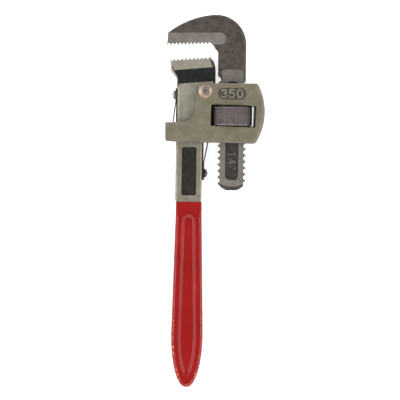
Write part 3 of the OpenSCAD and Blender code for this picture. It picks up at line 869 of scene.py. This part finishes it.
HEEL_TIP = box_mm("bar")[0].x
HEEL_HALF = box_mm("bar")[1].z
BAR_HALF = 6.2
RIVET_RADIUS = 3.98
BAR_LEFT = box_mm("upper_base_leaf")[1].x
BAR_RIGHT = box_mm("lower_base_leaf")[0].x
BAR_MIDDLE = (BAR_LEFT + BAR_RIGHT) / 2
BAR_OUT = BAR_LEFT - 0.9  # left side where no spring leaf lies on it
BAR_FOOT = -94.6  # the bar's steel ends inside the grip
FOOT_CORNER = 2.2
LEAF_TOP = box_mm("upper_base_leaf")[1].y
UNDER_STRAP = -30.0  # height behind the strap where the brighter upper part begins
HEEL_BACK = 8.5
HEEL_UNDER = 17.2
HEEL_NECK = 9.8
RAMP_TILT = 5.3  # degrees
RAMP_TOP = 19.8
RAMP_BOTTOM = 8.0
RAMP_PAINT = [(-28.2, 19.0), (-24.0, 11.9), (-24.4, 6.0)]
BACK_EDGE = [(3.0, 28.6), (6.0, 19.6)]  # where the jaw block's ground face turns dark
BAR_PANEL = BAR_MIDDLE - 6.4, -88.5, BAR_MIDDLE + 6, -47.6  # left, low, right and high side
BAR_PANEL_DEPTH = 0.9


def ramp_y(x, level):
    """Height at x of a line parallel to the edges of the sloping shoulder."""
    tilt = radians(RAMP_TILT)
    return (level + x * sin(tilt)) / cos(tilt)


def heel_outline():
    left, right = (ramp_y(x, RAMP_BOTTOM - 2) for x in (BAR_LEFT, HEEL_BACK))
    return joined(
        straight([(BAR_LEFT, HEEL_NECK), (BAR_LEFT, left)], 2.2),
        straight([(BAR_LEFT + 2, left), (HEEL_BACK - 2, right)], 0.6),
        straight([(HEEL_BACK, right), (HEEL_BACK, HEEL_UNDER)], 2.2),
        straight([(8.1, 21.4), (6.7, 25.4)], (2.2, 0.8), 0.8),
        rimmed(teeth((HEEL_TIP, 26.75), 3.7, 11, 3.32, 1.7, 1)[::-1], 0.12),
        straight([(HEEL_TIP, 25.9), (HEEL_TIP + 0.4, HEEL_UNDER + 1)], (0.8, 2.6), 0.8),
        straight([(HEEL_TIP + 0.9, HEEL_UNDER - 0.4), (BAR_LEFT - 0.6, HEEL_NECK + 0.4)], 2.6, 0.8),
    )


def neck_outline():
    left, right, round_y = BAR_OUT + FOOT_CORNER, BAR_RIGHT - FOOT_CORNER, BAR_FOOT + FOOT_CORNER
    return joined(
        straight([(BAR_OUT, HEEL_NECK + 6), (BAR_OUT, LEAF_TOP + 0.9), (BAR_LEFT, LEAF_TOP + 0.1),
                  (BAR_LEFT, -31), (BAR_OUT, -33), (BAR_OUT, round_y)], 1.9),
        curve((left, round_y), FOOT_CORNER, 180, 270, (1.9, 0.5), 0.4),
        straight([(left, BAR_FOOT), (right, BAR_FOOT)], 0.5),
        curve((right, round_y), FOOT_CORNER, 270, 360, (0.5, 1.9), 0.4),
        straight([(BAR_RIGHT, round_y), (BAR_RIGHT, -33), (BAR_RIGHT + 0.6, -26),
                  (BAR_RIGHT + 4, -16), (HEEL_BACK, -2), (HEEL_BACK, HEEL_NECK + 6)], 1.9),
        straight([(HEEL_BACK - 1, HEEL_NECK + 6.5), (BAR_LEFT + 1, HEEL_NECK + 6.5)], 0.5),
    )


def shoulder_wedge():
    """Cutter whose face slopes from the thick jaw block down to the bar."""
    fall = (HEEL_HALF - BAR_HALF) / (RAMP_TOP - RAMP_BOTTOM)
    section = [(RAMP_BOTTOM - 6, BAR_HALF - 6 * fall), (RAMP_TOP, HEEL_HALF),
               (RAMP_TOP, HEEL_HALF + 4), (RAMP_BOTTOM - 6, HEEL_HALF + 4)]
    rings = [np.array([(x, y, z) for y, z in section]) for x in (-60.0, 60.0)]
    return turned(ring_body("cutter", rings), Matrix.Rotation(radians(RAMP_TILT), 4, "Z"))


def behind_back_edge(x, y):
    (x0, y0), (x1, y1) = BACK_EDGE
    return y > y1 and x > x0 + (x1 - x0) * (y0 - y) / (y0 - y1)


def ramp_paint_edge(y):
    """Left edge of the black paint on the sloping shoulder, at height y."""
    xs, ys = zip(*reversed(RAMP_PAINT))
    return np.interp(y, ys, xs)


def rivet_bore():
    """Cutter right through the wrench, a hair wider than the pivot rivet's shaft."""
    radius = RIVET_RADIUS + 0.04
    return lathe("cutter", [(0, -20), (radius, -20), (radius, 20), (0, 20)])


def bar():
    heel = rounded_slab("bar_and_heel_jaw", heel_outline(), HEEL_HALF)
    cut(heel, *both_sides(shoulder_wedge))
    combine(heel, rounded_slab("neck", neck_outline(), BAR_HALF), "UNION")
    panel = rectangle(*BAR_PANEL, 1.8)
    cut(heel, *both_sides(lambda: sunk(panel, BAR_HALF, BAR_PANEL_DEPTH, 0.35)), rivet_bore())
    slope = atan2(HEEL_HALF - BAR_HALF, RAMP_TOP - RAMP_BOTTOM)
    for upper, lower in zip(RAMP_PAINT, RAMP_PAINT[1:]):
        scored(heel, upper, lower)
    scored(heel, *BACK_EDGE, flat=True)
    scored(heel, (BAR_OUT, UNDER_STRAP), (BAR_RIGHT, UNDER_STRAP), flat=True)

    def choose(x, y, z, up):
        if abs(up - cos(slope)) < 0.004 and y > 4 and z < HEEL_HALF - 0.02:
            return "black_paint" if x > ramp_paint_edge(y) else "bar_edge"
        if x > HEEL_BACK - 2.6 and y > 2 and up < 0.999:
            return "black_paint" if y < ramp_y(HEEL_BACK, RAMP_TOP) else "heel_back"
        if behind_back_edge(x, y):
            return "heel_back"
        in_panel = abs(x - BAR_MIDDLE) < 6.8 and -89 < y < -47.2
        if in_panel and BAR_HALF - BAR_PANEL_DEPTH - 0.05 < z < BAR_HALF - 0.02:
            return "panel_paint"
        if y > 23 and up < 0.5:
            return "heel_teeth"
        if up > 0.9:
            return "block_ground" if y > UNDER_STRAP else "bar_ground"
        # other rims take the lighter edge steel: a painted highlight
        return "bar_edge"

    paint(heel, choose)
    deliver(heel, "bar", ["bar"], 32)


# ---- grip

GRIP_LOW, GRIP_HIGH = box_mm("handle_grip")
GRIP_HALF = GRIP_HIGH.z
GRIP_MIDDLE = (GRIP_LOW.x + GRIP_HIGH.x) / 2 + 0.1
HANDLE_END = -GRIP_LOW.y + 1.4  # the drops here are measured down from the pivot
GRIP_TOP = 94.0
GRIP_RIM = 3.0  # rounding of its edges, less towards its top
TOP_HALF = 10.9
SWELL_HALF = (GRIP_HIGH.x - GRIP_LOW.x) / 2 + 0.45
SWELL_DROP = 206.0  # where the grip is widest
PANEL_TOP = 104.6
PANEL_TOP_HALF = 5.6
PANEL_HALF = 7.7
PANEL_END = 241.8
PANEL_WALL = 2.8
PANEL_DEPTH = 1.4


def half_outlines():
    """Right half of the grip and of its sunk panel, from the handle end up, point for point."""
    closing = np.radians(np.linspace(90, 0, 34)[:-1])
    shoulder = PANEL_TOP + PANEL_TOP_HALF
    taper = (SWELL_HALF - TOP_HALF) / (SWELL_DROP - GRIP_TOP)
    outer = [(SWELL_HALF * cos(t) ** 0.9, SWELL_DROP + (HANDLE_END - SWELL_DROP) * sin(t))
             for t in closing]
    inner = [(PANEL_HALF * cos(t), SWELL_DROP + (PANEL_END - SWELL_DROP) * sin(t))
             for t in closing]
    sides = np.linspace(0, 1, 78)
    drops = [SWELL_DROP + (shoulder - SWELL_DROP) * s for s in sides]
    inner += [(PANEL_HALF + (PANEL_TOP_HALF - PANEL_HALF) * s, drop) for s, drop in zip(sides, drops)]
    drops += list(np.linspace(shoulder, GRIP_TOP, 15)[1:])
    outer += [(SWELL_HALF - taper * (SWELL_DROP - drop), drop) for drop in drops]
    outer += [(TOP_HALF * s, GRIP_TOP) for s in np.linspace(1, 0, 10)[1:]]
    inner += [(PANEL_TOP_HALF * cos(t), shoulder - PANEL_TOP_HALF * sin(t))
              for t in np.radians(np.linspace(0, 90, 24)[1:])]
    return outer, inner


def whole_outline(half):
    """Closed anticlockwise outline from its right half; the end points lie on the middle line."""
    left = [(-x, drop) for x, drop in reversed(half[1:-1])]
    return np.array([(GRIP_MIDDLE + x, -drop) for x, drop in half + left])


def grip():
    """Dipped coating: round sides, flat faces and a long sunk panel with soft sloping walls."""
    outer, inner = (whole_outline(half) for half in half_outlines())
    away = outward(inner)
    rims = GRIP_RIM - 2.5 * smooth(outer[:, 1], -GRIP_TOP - 16, -GRIP_TOP - 0.5)
    rings = rim_rings(outer, rims, GRIP_HALF, 6)
    rim_inside = outer - outward(outer) * rims[:, None]
    for share in (0.35, 0.7):
        rings.append(lifted(rim_inside + (inner + away * 0.2 - rim_inside) * share, GRIP_HALF))
    wall = PANEL_WALL * (1 - 0.5 * smooth(-inner[:, 1], PANEL_END - 4, PANEL_END))
    for share in np.linspace(0, 1, 11):
        rings.append(lifted(inner - away * (wall * share - 0.15)[:, None],
                            GRIP_HALF - PANEL_DEPTH * smooth(share, 0, 1)))
    x, y = inner.T
    centre_line = np.column_stack([GRIP_MIDDLE + (x - GRIP_MIDDLE) * 0.3,
                                   np.clip(y, -PANEL_END + 7.5, -PANEL_TOP - 6)])
    rings.append(lifted(centre_line, GRIP_HALF - PANEL_DEPTH))
    body = ring_body("grip_coating", with_back(rings))
    paint(body, lambda *face: "red_coat")
    deliver(body, "bar", ["handle_grip"], 60)


# ---- housing

HOUSING_HALF = box_mm("housing")[1].z
HOUSING_LEFT = box_mm("housing")[0].x - 0.5
HOUSING_TOP = 6.7
HOUSING_BOTTOM = -43.2
BACK_CENTRE = (0, -17.4)
BACK_RADIUS = 50.7
BACK_CORNER = 2.4
SWEEP_CENTRE = (-21.8, -14.5)
SWEEP_RADIUS = 12.5
SWEEP_TOP_X = -7.1
STRAP_TOP = -26.7
STRAP = 4.6
CHEEK_GAP = 12.8
SHANK_GAP = 10.8
WINDOW = [(4.9, -29.4), (42.7, -30.4), (43.3, -12), (5.2, -11.1)]
WINDOW_WAIST = [(6.1, -29.0), (41.1, -29.1), (41.5, -12.3), (6.1, -11.9)]
WINDOW_BACK = [(7.8, -29.0), *WINDOW_WAIST[1:3], (7.8, -11.9)]
PLATE_CENTRE = (22.8, -2.0)
PLATE_HALF = (11.95, 5.05)
PLATE_DEPTH = 0.8
WALL_LEFT = 5.2
WALL_TOP = -33.0
PASSAGE_SPLIT = 9.9


def housing_outline():
    corner_y = HOUSING_TOP + 0.3 - BACK_CORNER
    corner_x = sqrt((BACK_RADIUS - BACK_CORNER) ** 2 - (corner_y - BACK_CENTRE[1]) ** 2)
    meet = degrees(atan2(corner_y - BACK_CENTRE[1], corner_x))
    foot_y = HOUSING_BOTTOM - 0.6
    foot = degrees(asin((foot_y - BACK_CENTRE[1]) / BACK_RADIUS))
    foot_x = BACK_RADIUS * cos(radians(foot))
    strap = filleted([(SWEEP_CENTRE[0], STRAP_TOP), (HOUSING_LEFT, STRAP_TOP),
                      (HOUSING_LEFT, HOUSING_BOTTOM + 0.6), (foot_x, foot_y)], [0, 0.9, 2.0, 0])
    top_left = filleted([(10, HOUSING_TOP), (SWEEP_TOP_X, HOUSING_TOP - 0.3), (-8.6, -10)], [0, 3.0, 0])
    sweep_start = (SWEEP_CENTRE[0] + SWEEP_RADIUS, SWEEP_CENTRE[1])
    return joined(
        curve(BACK_CENTRE, BACK_RADIUS, foot + 1.5, meet, 2.8),
        curve((corner_x, corner_y), BACK_CORNER, meet, 91, (2.8, 0.5), 0.5),
        straight([(corner_x - 1, HOUSING_TOP + 0.29), top_left[1]], 0.45),
        rimmed(top_left[1:-1], 0.45),
        straight([top_left[-2], sweep_start], 0.45),
        curve(SWEEP_CENTRE, SWEEP_RADIUS, 0, -90, 0.45),
        straight(strap[:2], (0.45, 0.9)),
        straight(strap[1:-1], 0.9),
        straight([strap[-2], (foot_x - 1.3, foot_y)], 0.5),
    )


def window_half(corners):
    """Cutter for the window's front half, from its waist out to these corners in the face."""
    inner, face = (np.array(filleted(four, [0.8] * 4)) for four in (WINDOW_WAIST, corners))
    past = face + (face - inner) / HOUSING_HALF
    return ring_body("cutter", [lifted(inner, -0.02), lifted(past, HOUSING_HALF + 1)])


def housing():
    body = rounded_slab("housing_frame", housing_outline(), HOUSING_HALF)
    low, high = 2 * HOUSING_BOTTOM, -HOUSING_BOTTOM
    left = HOUSING_LEFT + STRAP
    bar_way = [(left, low), (WALL_LEFT, low), (WALL_LEFT, WALL_TOP), (PASSAGE_SPLIT, WALL_TOP),
               (PASSAGE_SPLIT, high), (left, high)]
    near, far = THROAT - 0.3, SHANK_X + SHANK_RADIUS + 0.3
    shank_way = [(near, low), (far, low), (far, high), (PASSAGE_SPLIT - 1, high),
                 (PASSAGE_SPLIT - 1, WALL_TOP), (near, WALL_TOP)]
    (plate_x, plate_y), (half_x, half_y) = PLATE_CENTRE, PLATE_HALF
    plate = rectangle(plate_x - half_x, plate_y - half_y, plate_x + half_x, plate_y + half_y, 4.4)
    cut(body,
        prism(bar_way, -CHEEK_GAP / 2, CHEEK_GAP / 2),
        prism(shank_way, -SHANK_GAP / 2, SHANK_GAP / 2),
        window_half(WINDOW),
        turned(window_half(WINDOW_BACK), TO_BACK),
        sunk(plate, HOUSING_HALF, PLATE_DEPTH, 0.2),
        rivet_bore())

    def choose(x, y, z, up):
        if up > FLAT and z > HOUSING_HALF - 0.02:
            return "housing_ground"
        # window walls: near-black painted shade in the gaps round the nut
        if 4 < x < 43.6 and -31 < y < -10.5 and up < 0.6:
            return "wall_soot"
        if abs(x - plate_x) < half_x + 0.15 and abs(y - plate_y) < half_y + 0.35 and up > 0.5:
            return "housing_dark"
        # the cheek's curved edge over the bar: a thin painted shadow line
        if x < -5.5 and y > STRAP_TOP + 0.2 and z > CHEEK_GAP / 2 + 0.1:
            return "wall_soot"
        # the rounded back rim and the bottom edge take the darker copy: painted shade
        if dist((x, y), BACK_CENTRE) > BACK_RADIUS - 3.2 or y < HOUSING_BOTTOM + 1:
            return "housing_rim"
        # edges near the face and the strap's left side take the lighter edge steel: a painted highlight
        return "bar_edge" if x < HOUSING_LEFT + 1 or z >= HOUSING_HALF - 1 else "housing_dark"

    paint(body, choose)
    deliver(body, "housing", ["housing"], 32)


def plate_number():
    """Nominal size in millimetres, raised on the sunk plate, flush with the face."""
    digits = raised_number("plate_number", "350", 7.0, 6.75, 1.5, PLATE_DEPTH, 0.25)
    turned(digits, Matrix.Translation((23.8, -1.9, HOUSING_HALF - PLATE_DEPTH)))
    paint(digits, lambda *face: "digits")
    deliver(digits, "housing")


# ---- nut, rivets and springs

NUT_RADIUS = (box_mm("adjusting_nut")[1].x - box_mm("adjusting_nut")[0].x) / 2
NUT_BORE = 12.7
NUT_Y = -20.7
NUT_HALF = 8.2
NUT_RIM = 1.0  # rounding of the nut's outer edges
NUT_BEVEL = 0.8  # at the ends of its bore
KNURL_PITCH = 1.7
KNURL_DEPTH = 0.45
UPPER_BEND = -8.0  # heights where the leaning leaves leave their base leaves
LOWER_BEND = -61.3


def wave(value):
    """Triangle wave, 0 at whole numbers and 1 halfway between."""
    return 1 - np.abs(2 * np.mod(value, 1) - 1)


def nut():
    """Ring with a fine diamond knurl that fades out at its rounded rims."""
    around = np.arange(540) / 540
    count = round(2 * pi * NUT_RADIUS / KNURL_PITCH)
    shoulder = NUT_HALF - NUT_RIM
    end = [(NUT_RADIUS - NUT_RIM + NUT_RIM * sin(t) - 0.02, shoulder + NUT_RIM * cos(t))
           for t in np.radians(np.linspace(90, 0, 5))]
    end += [(NUT_BORE + NUT_BEVEL, NUT_HALF), (NUT_BORE, NUT_HALF - NUT_BEVEL)]
    profile = [(NUT_BORE, 0.0)] + [(radius, -y) for radius, y in reversed(end)]
    for y in np.linspace(-shoulder + 0.1, shoulder - 0.1, 76):
        up, down = wave(around * count + y / KNURL_PITCH), wave(around * count - y / KNURL_PITCH)
        cut_in = KNURL_DEPTH * (1 - up * (0.65 + 0.35 * down))
        profile.append((NUT_RADIUS - cut_in * smooth(shoulder - abs(y), 0.0, 0.5), y))
    profile += end
    cosine, sine = np.cos(2 * pi * around), np.sin(2 * pi * around)
    rings = [np.column_stack([SHANK_X + radius * cosine, np.full(len(around), NUT_Y + y), -radius * sine])
             for radius, y in profile]
    body = ring_body("adjusting_nut_knurled", rings + rings[:1], ends=False)

    def choose(x, y, z, up):
        # the nut's upper end, under the window's edge, is painted dark as painted shade
        if y > NUT_Y + shoulder:
            return "slot_soot"
        out = hypot(x - SHANK_X, z)
        # the knurl's grooves take the darker colour as painted shade
        on_knurl = abs(y - NUT_Y) < shoulder and out > NUT_RADIUS - NUT_RIM
        return "nut_groove" if on_knurl and out < NUT_RADIUS - 0.6 * KNURL_DEPTH else "nut_dark"

    paint(body, choose)
    deliver(body, "adjusting_nut", ["adjusting_nut"], 70)


def dome(radius, rise, edge=0.35, steps=9):
    """Profile of a rivet head on its flat underside, from the rim to the middle."""
    ball = (radius ** 2 + (rise - edge) ** 2) / (2 * (rise - edge))
    angles = [asin(radius / ball) * (1 - k / steps) for k in range(1, steps + 1)]
    return [(radius - 0.1, 0.0), (radius, 0.12), (radius, edge)] + [
        (ball * sin(a), rise - ball + ball * cos(a)) for a in angles]


def pivot_rivet():
    """Peened heads: domes with shallow dents, a dark mark in the middle, a painted shade ring at the rim
    and an orange painted reflection on the lower rim.
    """
    top = [(r, HOUSING_HALF + h) for r, h in dome(6.0, 1.8)]
    bottom = [(r, -h) for r, h in reversed(top)]
    shaft = [(RIVET_RADIUS, -HOUSING_HALF), (RIVET_RADIUS, HOUSING_HALF)]
    body = lathe("pivot_rivet_domed", bottom + shaft + top, turns=96)
    rng = np.random.default_rng(5)
    bumps = rng.uniform(-1, 1, (14, 2)) * 2.6
    sizes = rng.uniform(0.5, 1.1, 14)
    for v in body.data.vertices:
        if abs(v.co.z) > HOUSING_HALF + 0.3:
            dent = sum(exp(-((v.co.x - x) ** 2 + (v.co.y - y) ** 2) / s ** 2)
                       for (x, y), s in zip(bumps, sizes))
            v.co.z -= copysign(min(0.28, 0.12 * dent), v.co.z)

    def choose(x, y, z, up):
        around = atan2(y, x)
        mark = 1.7 + 0.35 * sin(3 * around + 1) + 0.2 * sin(7 * around)
        out = hypot(x, y)
        # the middle mark is the peen mark; the ring past 5.6 mm is painted shade; the orange crescent on
        # the lower rim is a painted reflection
        if out < mark or out > 5.6:
            return "rivet_mark"
        return "rivet_stain" if out > 4.4 and -2.6 < around < -1.5 else "rivet_warm"

    paint(body, choose)
    deliver(body, "housing", ["pivot_rivet"], 50)


def spring_rivet(name, node):
    low, high = box_mm(node)
    middle = (low + high) / 2
    out = -1 if middle.x < BAR_MIDDLE else 1
    # the upper rivet's dome is painted light as a highlight; the lower one takes the worn leaf colour
    dome_finish = "rivet_grey" if out < 0 else "spring_worn"
    rise, disc = 2.8, 0.9
    face = low.x + rise if out < 0 else high.x - rise
    shaft = [(0, low.x + rise - high.x), (1.78, low.x + rise - high.x), (1.78, 0)]
    body = lathe(name, shaft + dome(high.y - middle.y, rise, disc), (face, middle.y, 0), (out, 0, 0), 48)
    paint(body, lambda x, y, z, up: dome_finish if (x - face) * out > disc else "spring_blue")
    deliver(body, "bar", [node], 50)


def leaf_outline(x, start, bend, tip, spread, thickness, side):
    """Closed outline of a leaf seen from the front: flat to the bend, then leaning out."""
    soft = 0.16
    back = [(x, start), (x, bend)]
    for t in np.linspace(0, 1, 28)[1:]:
        lean = t * t / (2 * soft) if t < soft else t - soft / 2
        back.append((x + side * spread * lean / (1 - soft / 2), bend + (tip - bend) * t))
    outer = [(px + side * (thickness + 0.25 * max(0, min(1, 4 * (py - bend) / (tip - bend)))), py)
             for px, py in reversed(back)]
    points = back + outer
    area = sum(a[0] * b[1] - b[0] * a[1] for a, b in zip(points, points[1:] + points[:1]))
    return points if area > 0 else points[::-1]


def spring_leaf(name, node, finish="spring_blue", bend=None, side=0):
    """One leaf; with a bend it leans out to the housing."""
    low, high = box_mm(node)
    if bend is None:
        outline = rectangle(low.x, low.y, high.x, high.y, 0.3, 0.2)
        blend = None
    else:
        start, tip = (high.y, low.y) if abs(high.y - bend) < abs(low.y - bend) else (low.y, high.y)
        x = high.x if side < 0 else low.x
        thickness = 0.8
        outline = leaf_outline(x, start, bend, tip, high.x - low.x - thickness, thickness, side)
        blend = [(x, bend, 0), (x, tip, 0)]
    piece = rounded_slab(name, rimmed(outline, 0.2), high.z)
    paint(piece, lambda *face: finish)
    deliver(piece, "bar", [node], 40, blend)


def springs():
    spring_leaf("upper_base_leaf_blued", "upper_base_leaf")
    spring_leaf("lower_base_leaf_blued", "lower_base_leaf")
    spring_leaf("upper_spring_leaf_bent", "upper_spring_leaf", "spring_worn", UPPER_BEND, -1)
    spring_leaf("lower_spring_leaf_bent", "lower_spring_leaf", "spring_blue", LOWER_BEND, 1)
    spring_rivet("upper_spring_rivet_head", "upper_spring_rivet")
    spring_rivet("lower_spring_rivet_head", "lower_spring_rivet")


# ---- the scene

bpy.context.scene.view_settings.view_transform = "Standard"
make_camera()
make_floor()
make_lights()
make_materials()
for make_piece in (hook_jaw, shank_number, bar, grip, housing, plate_number, nut, pivot_rivet, springs):
    make_piece()
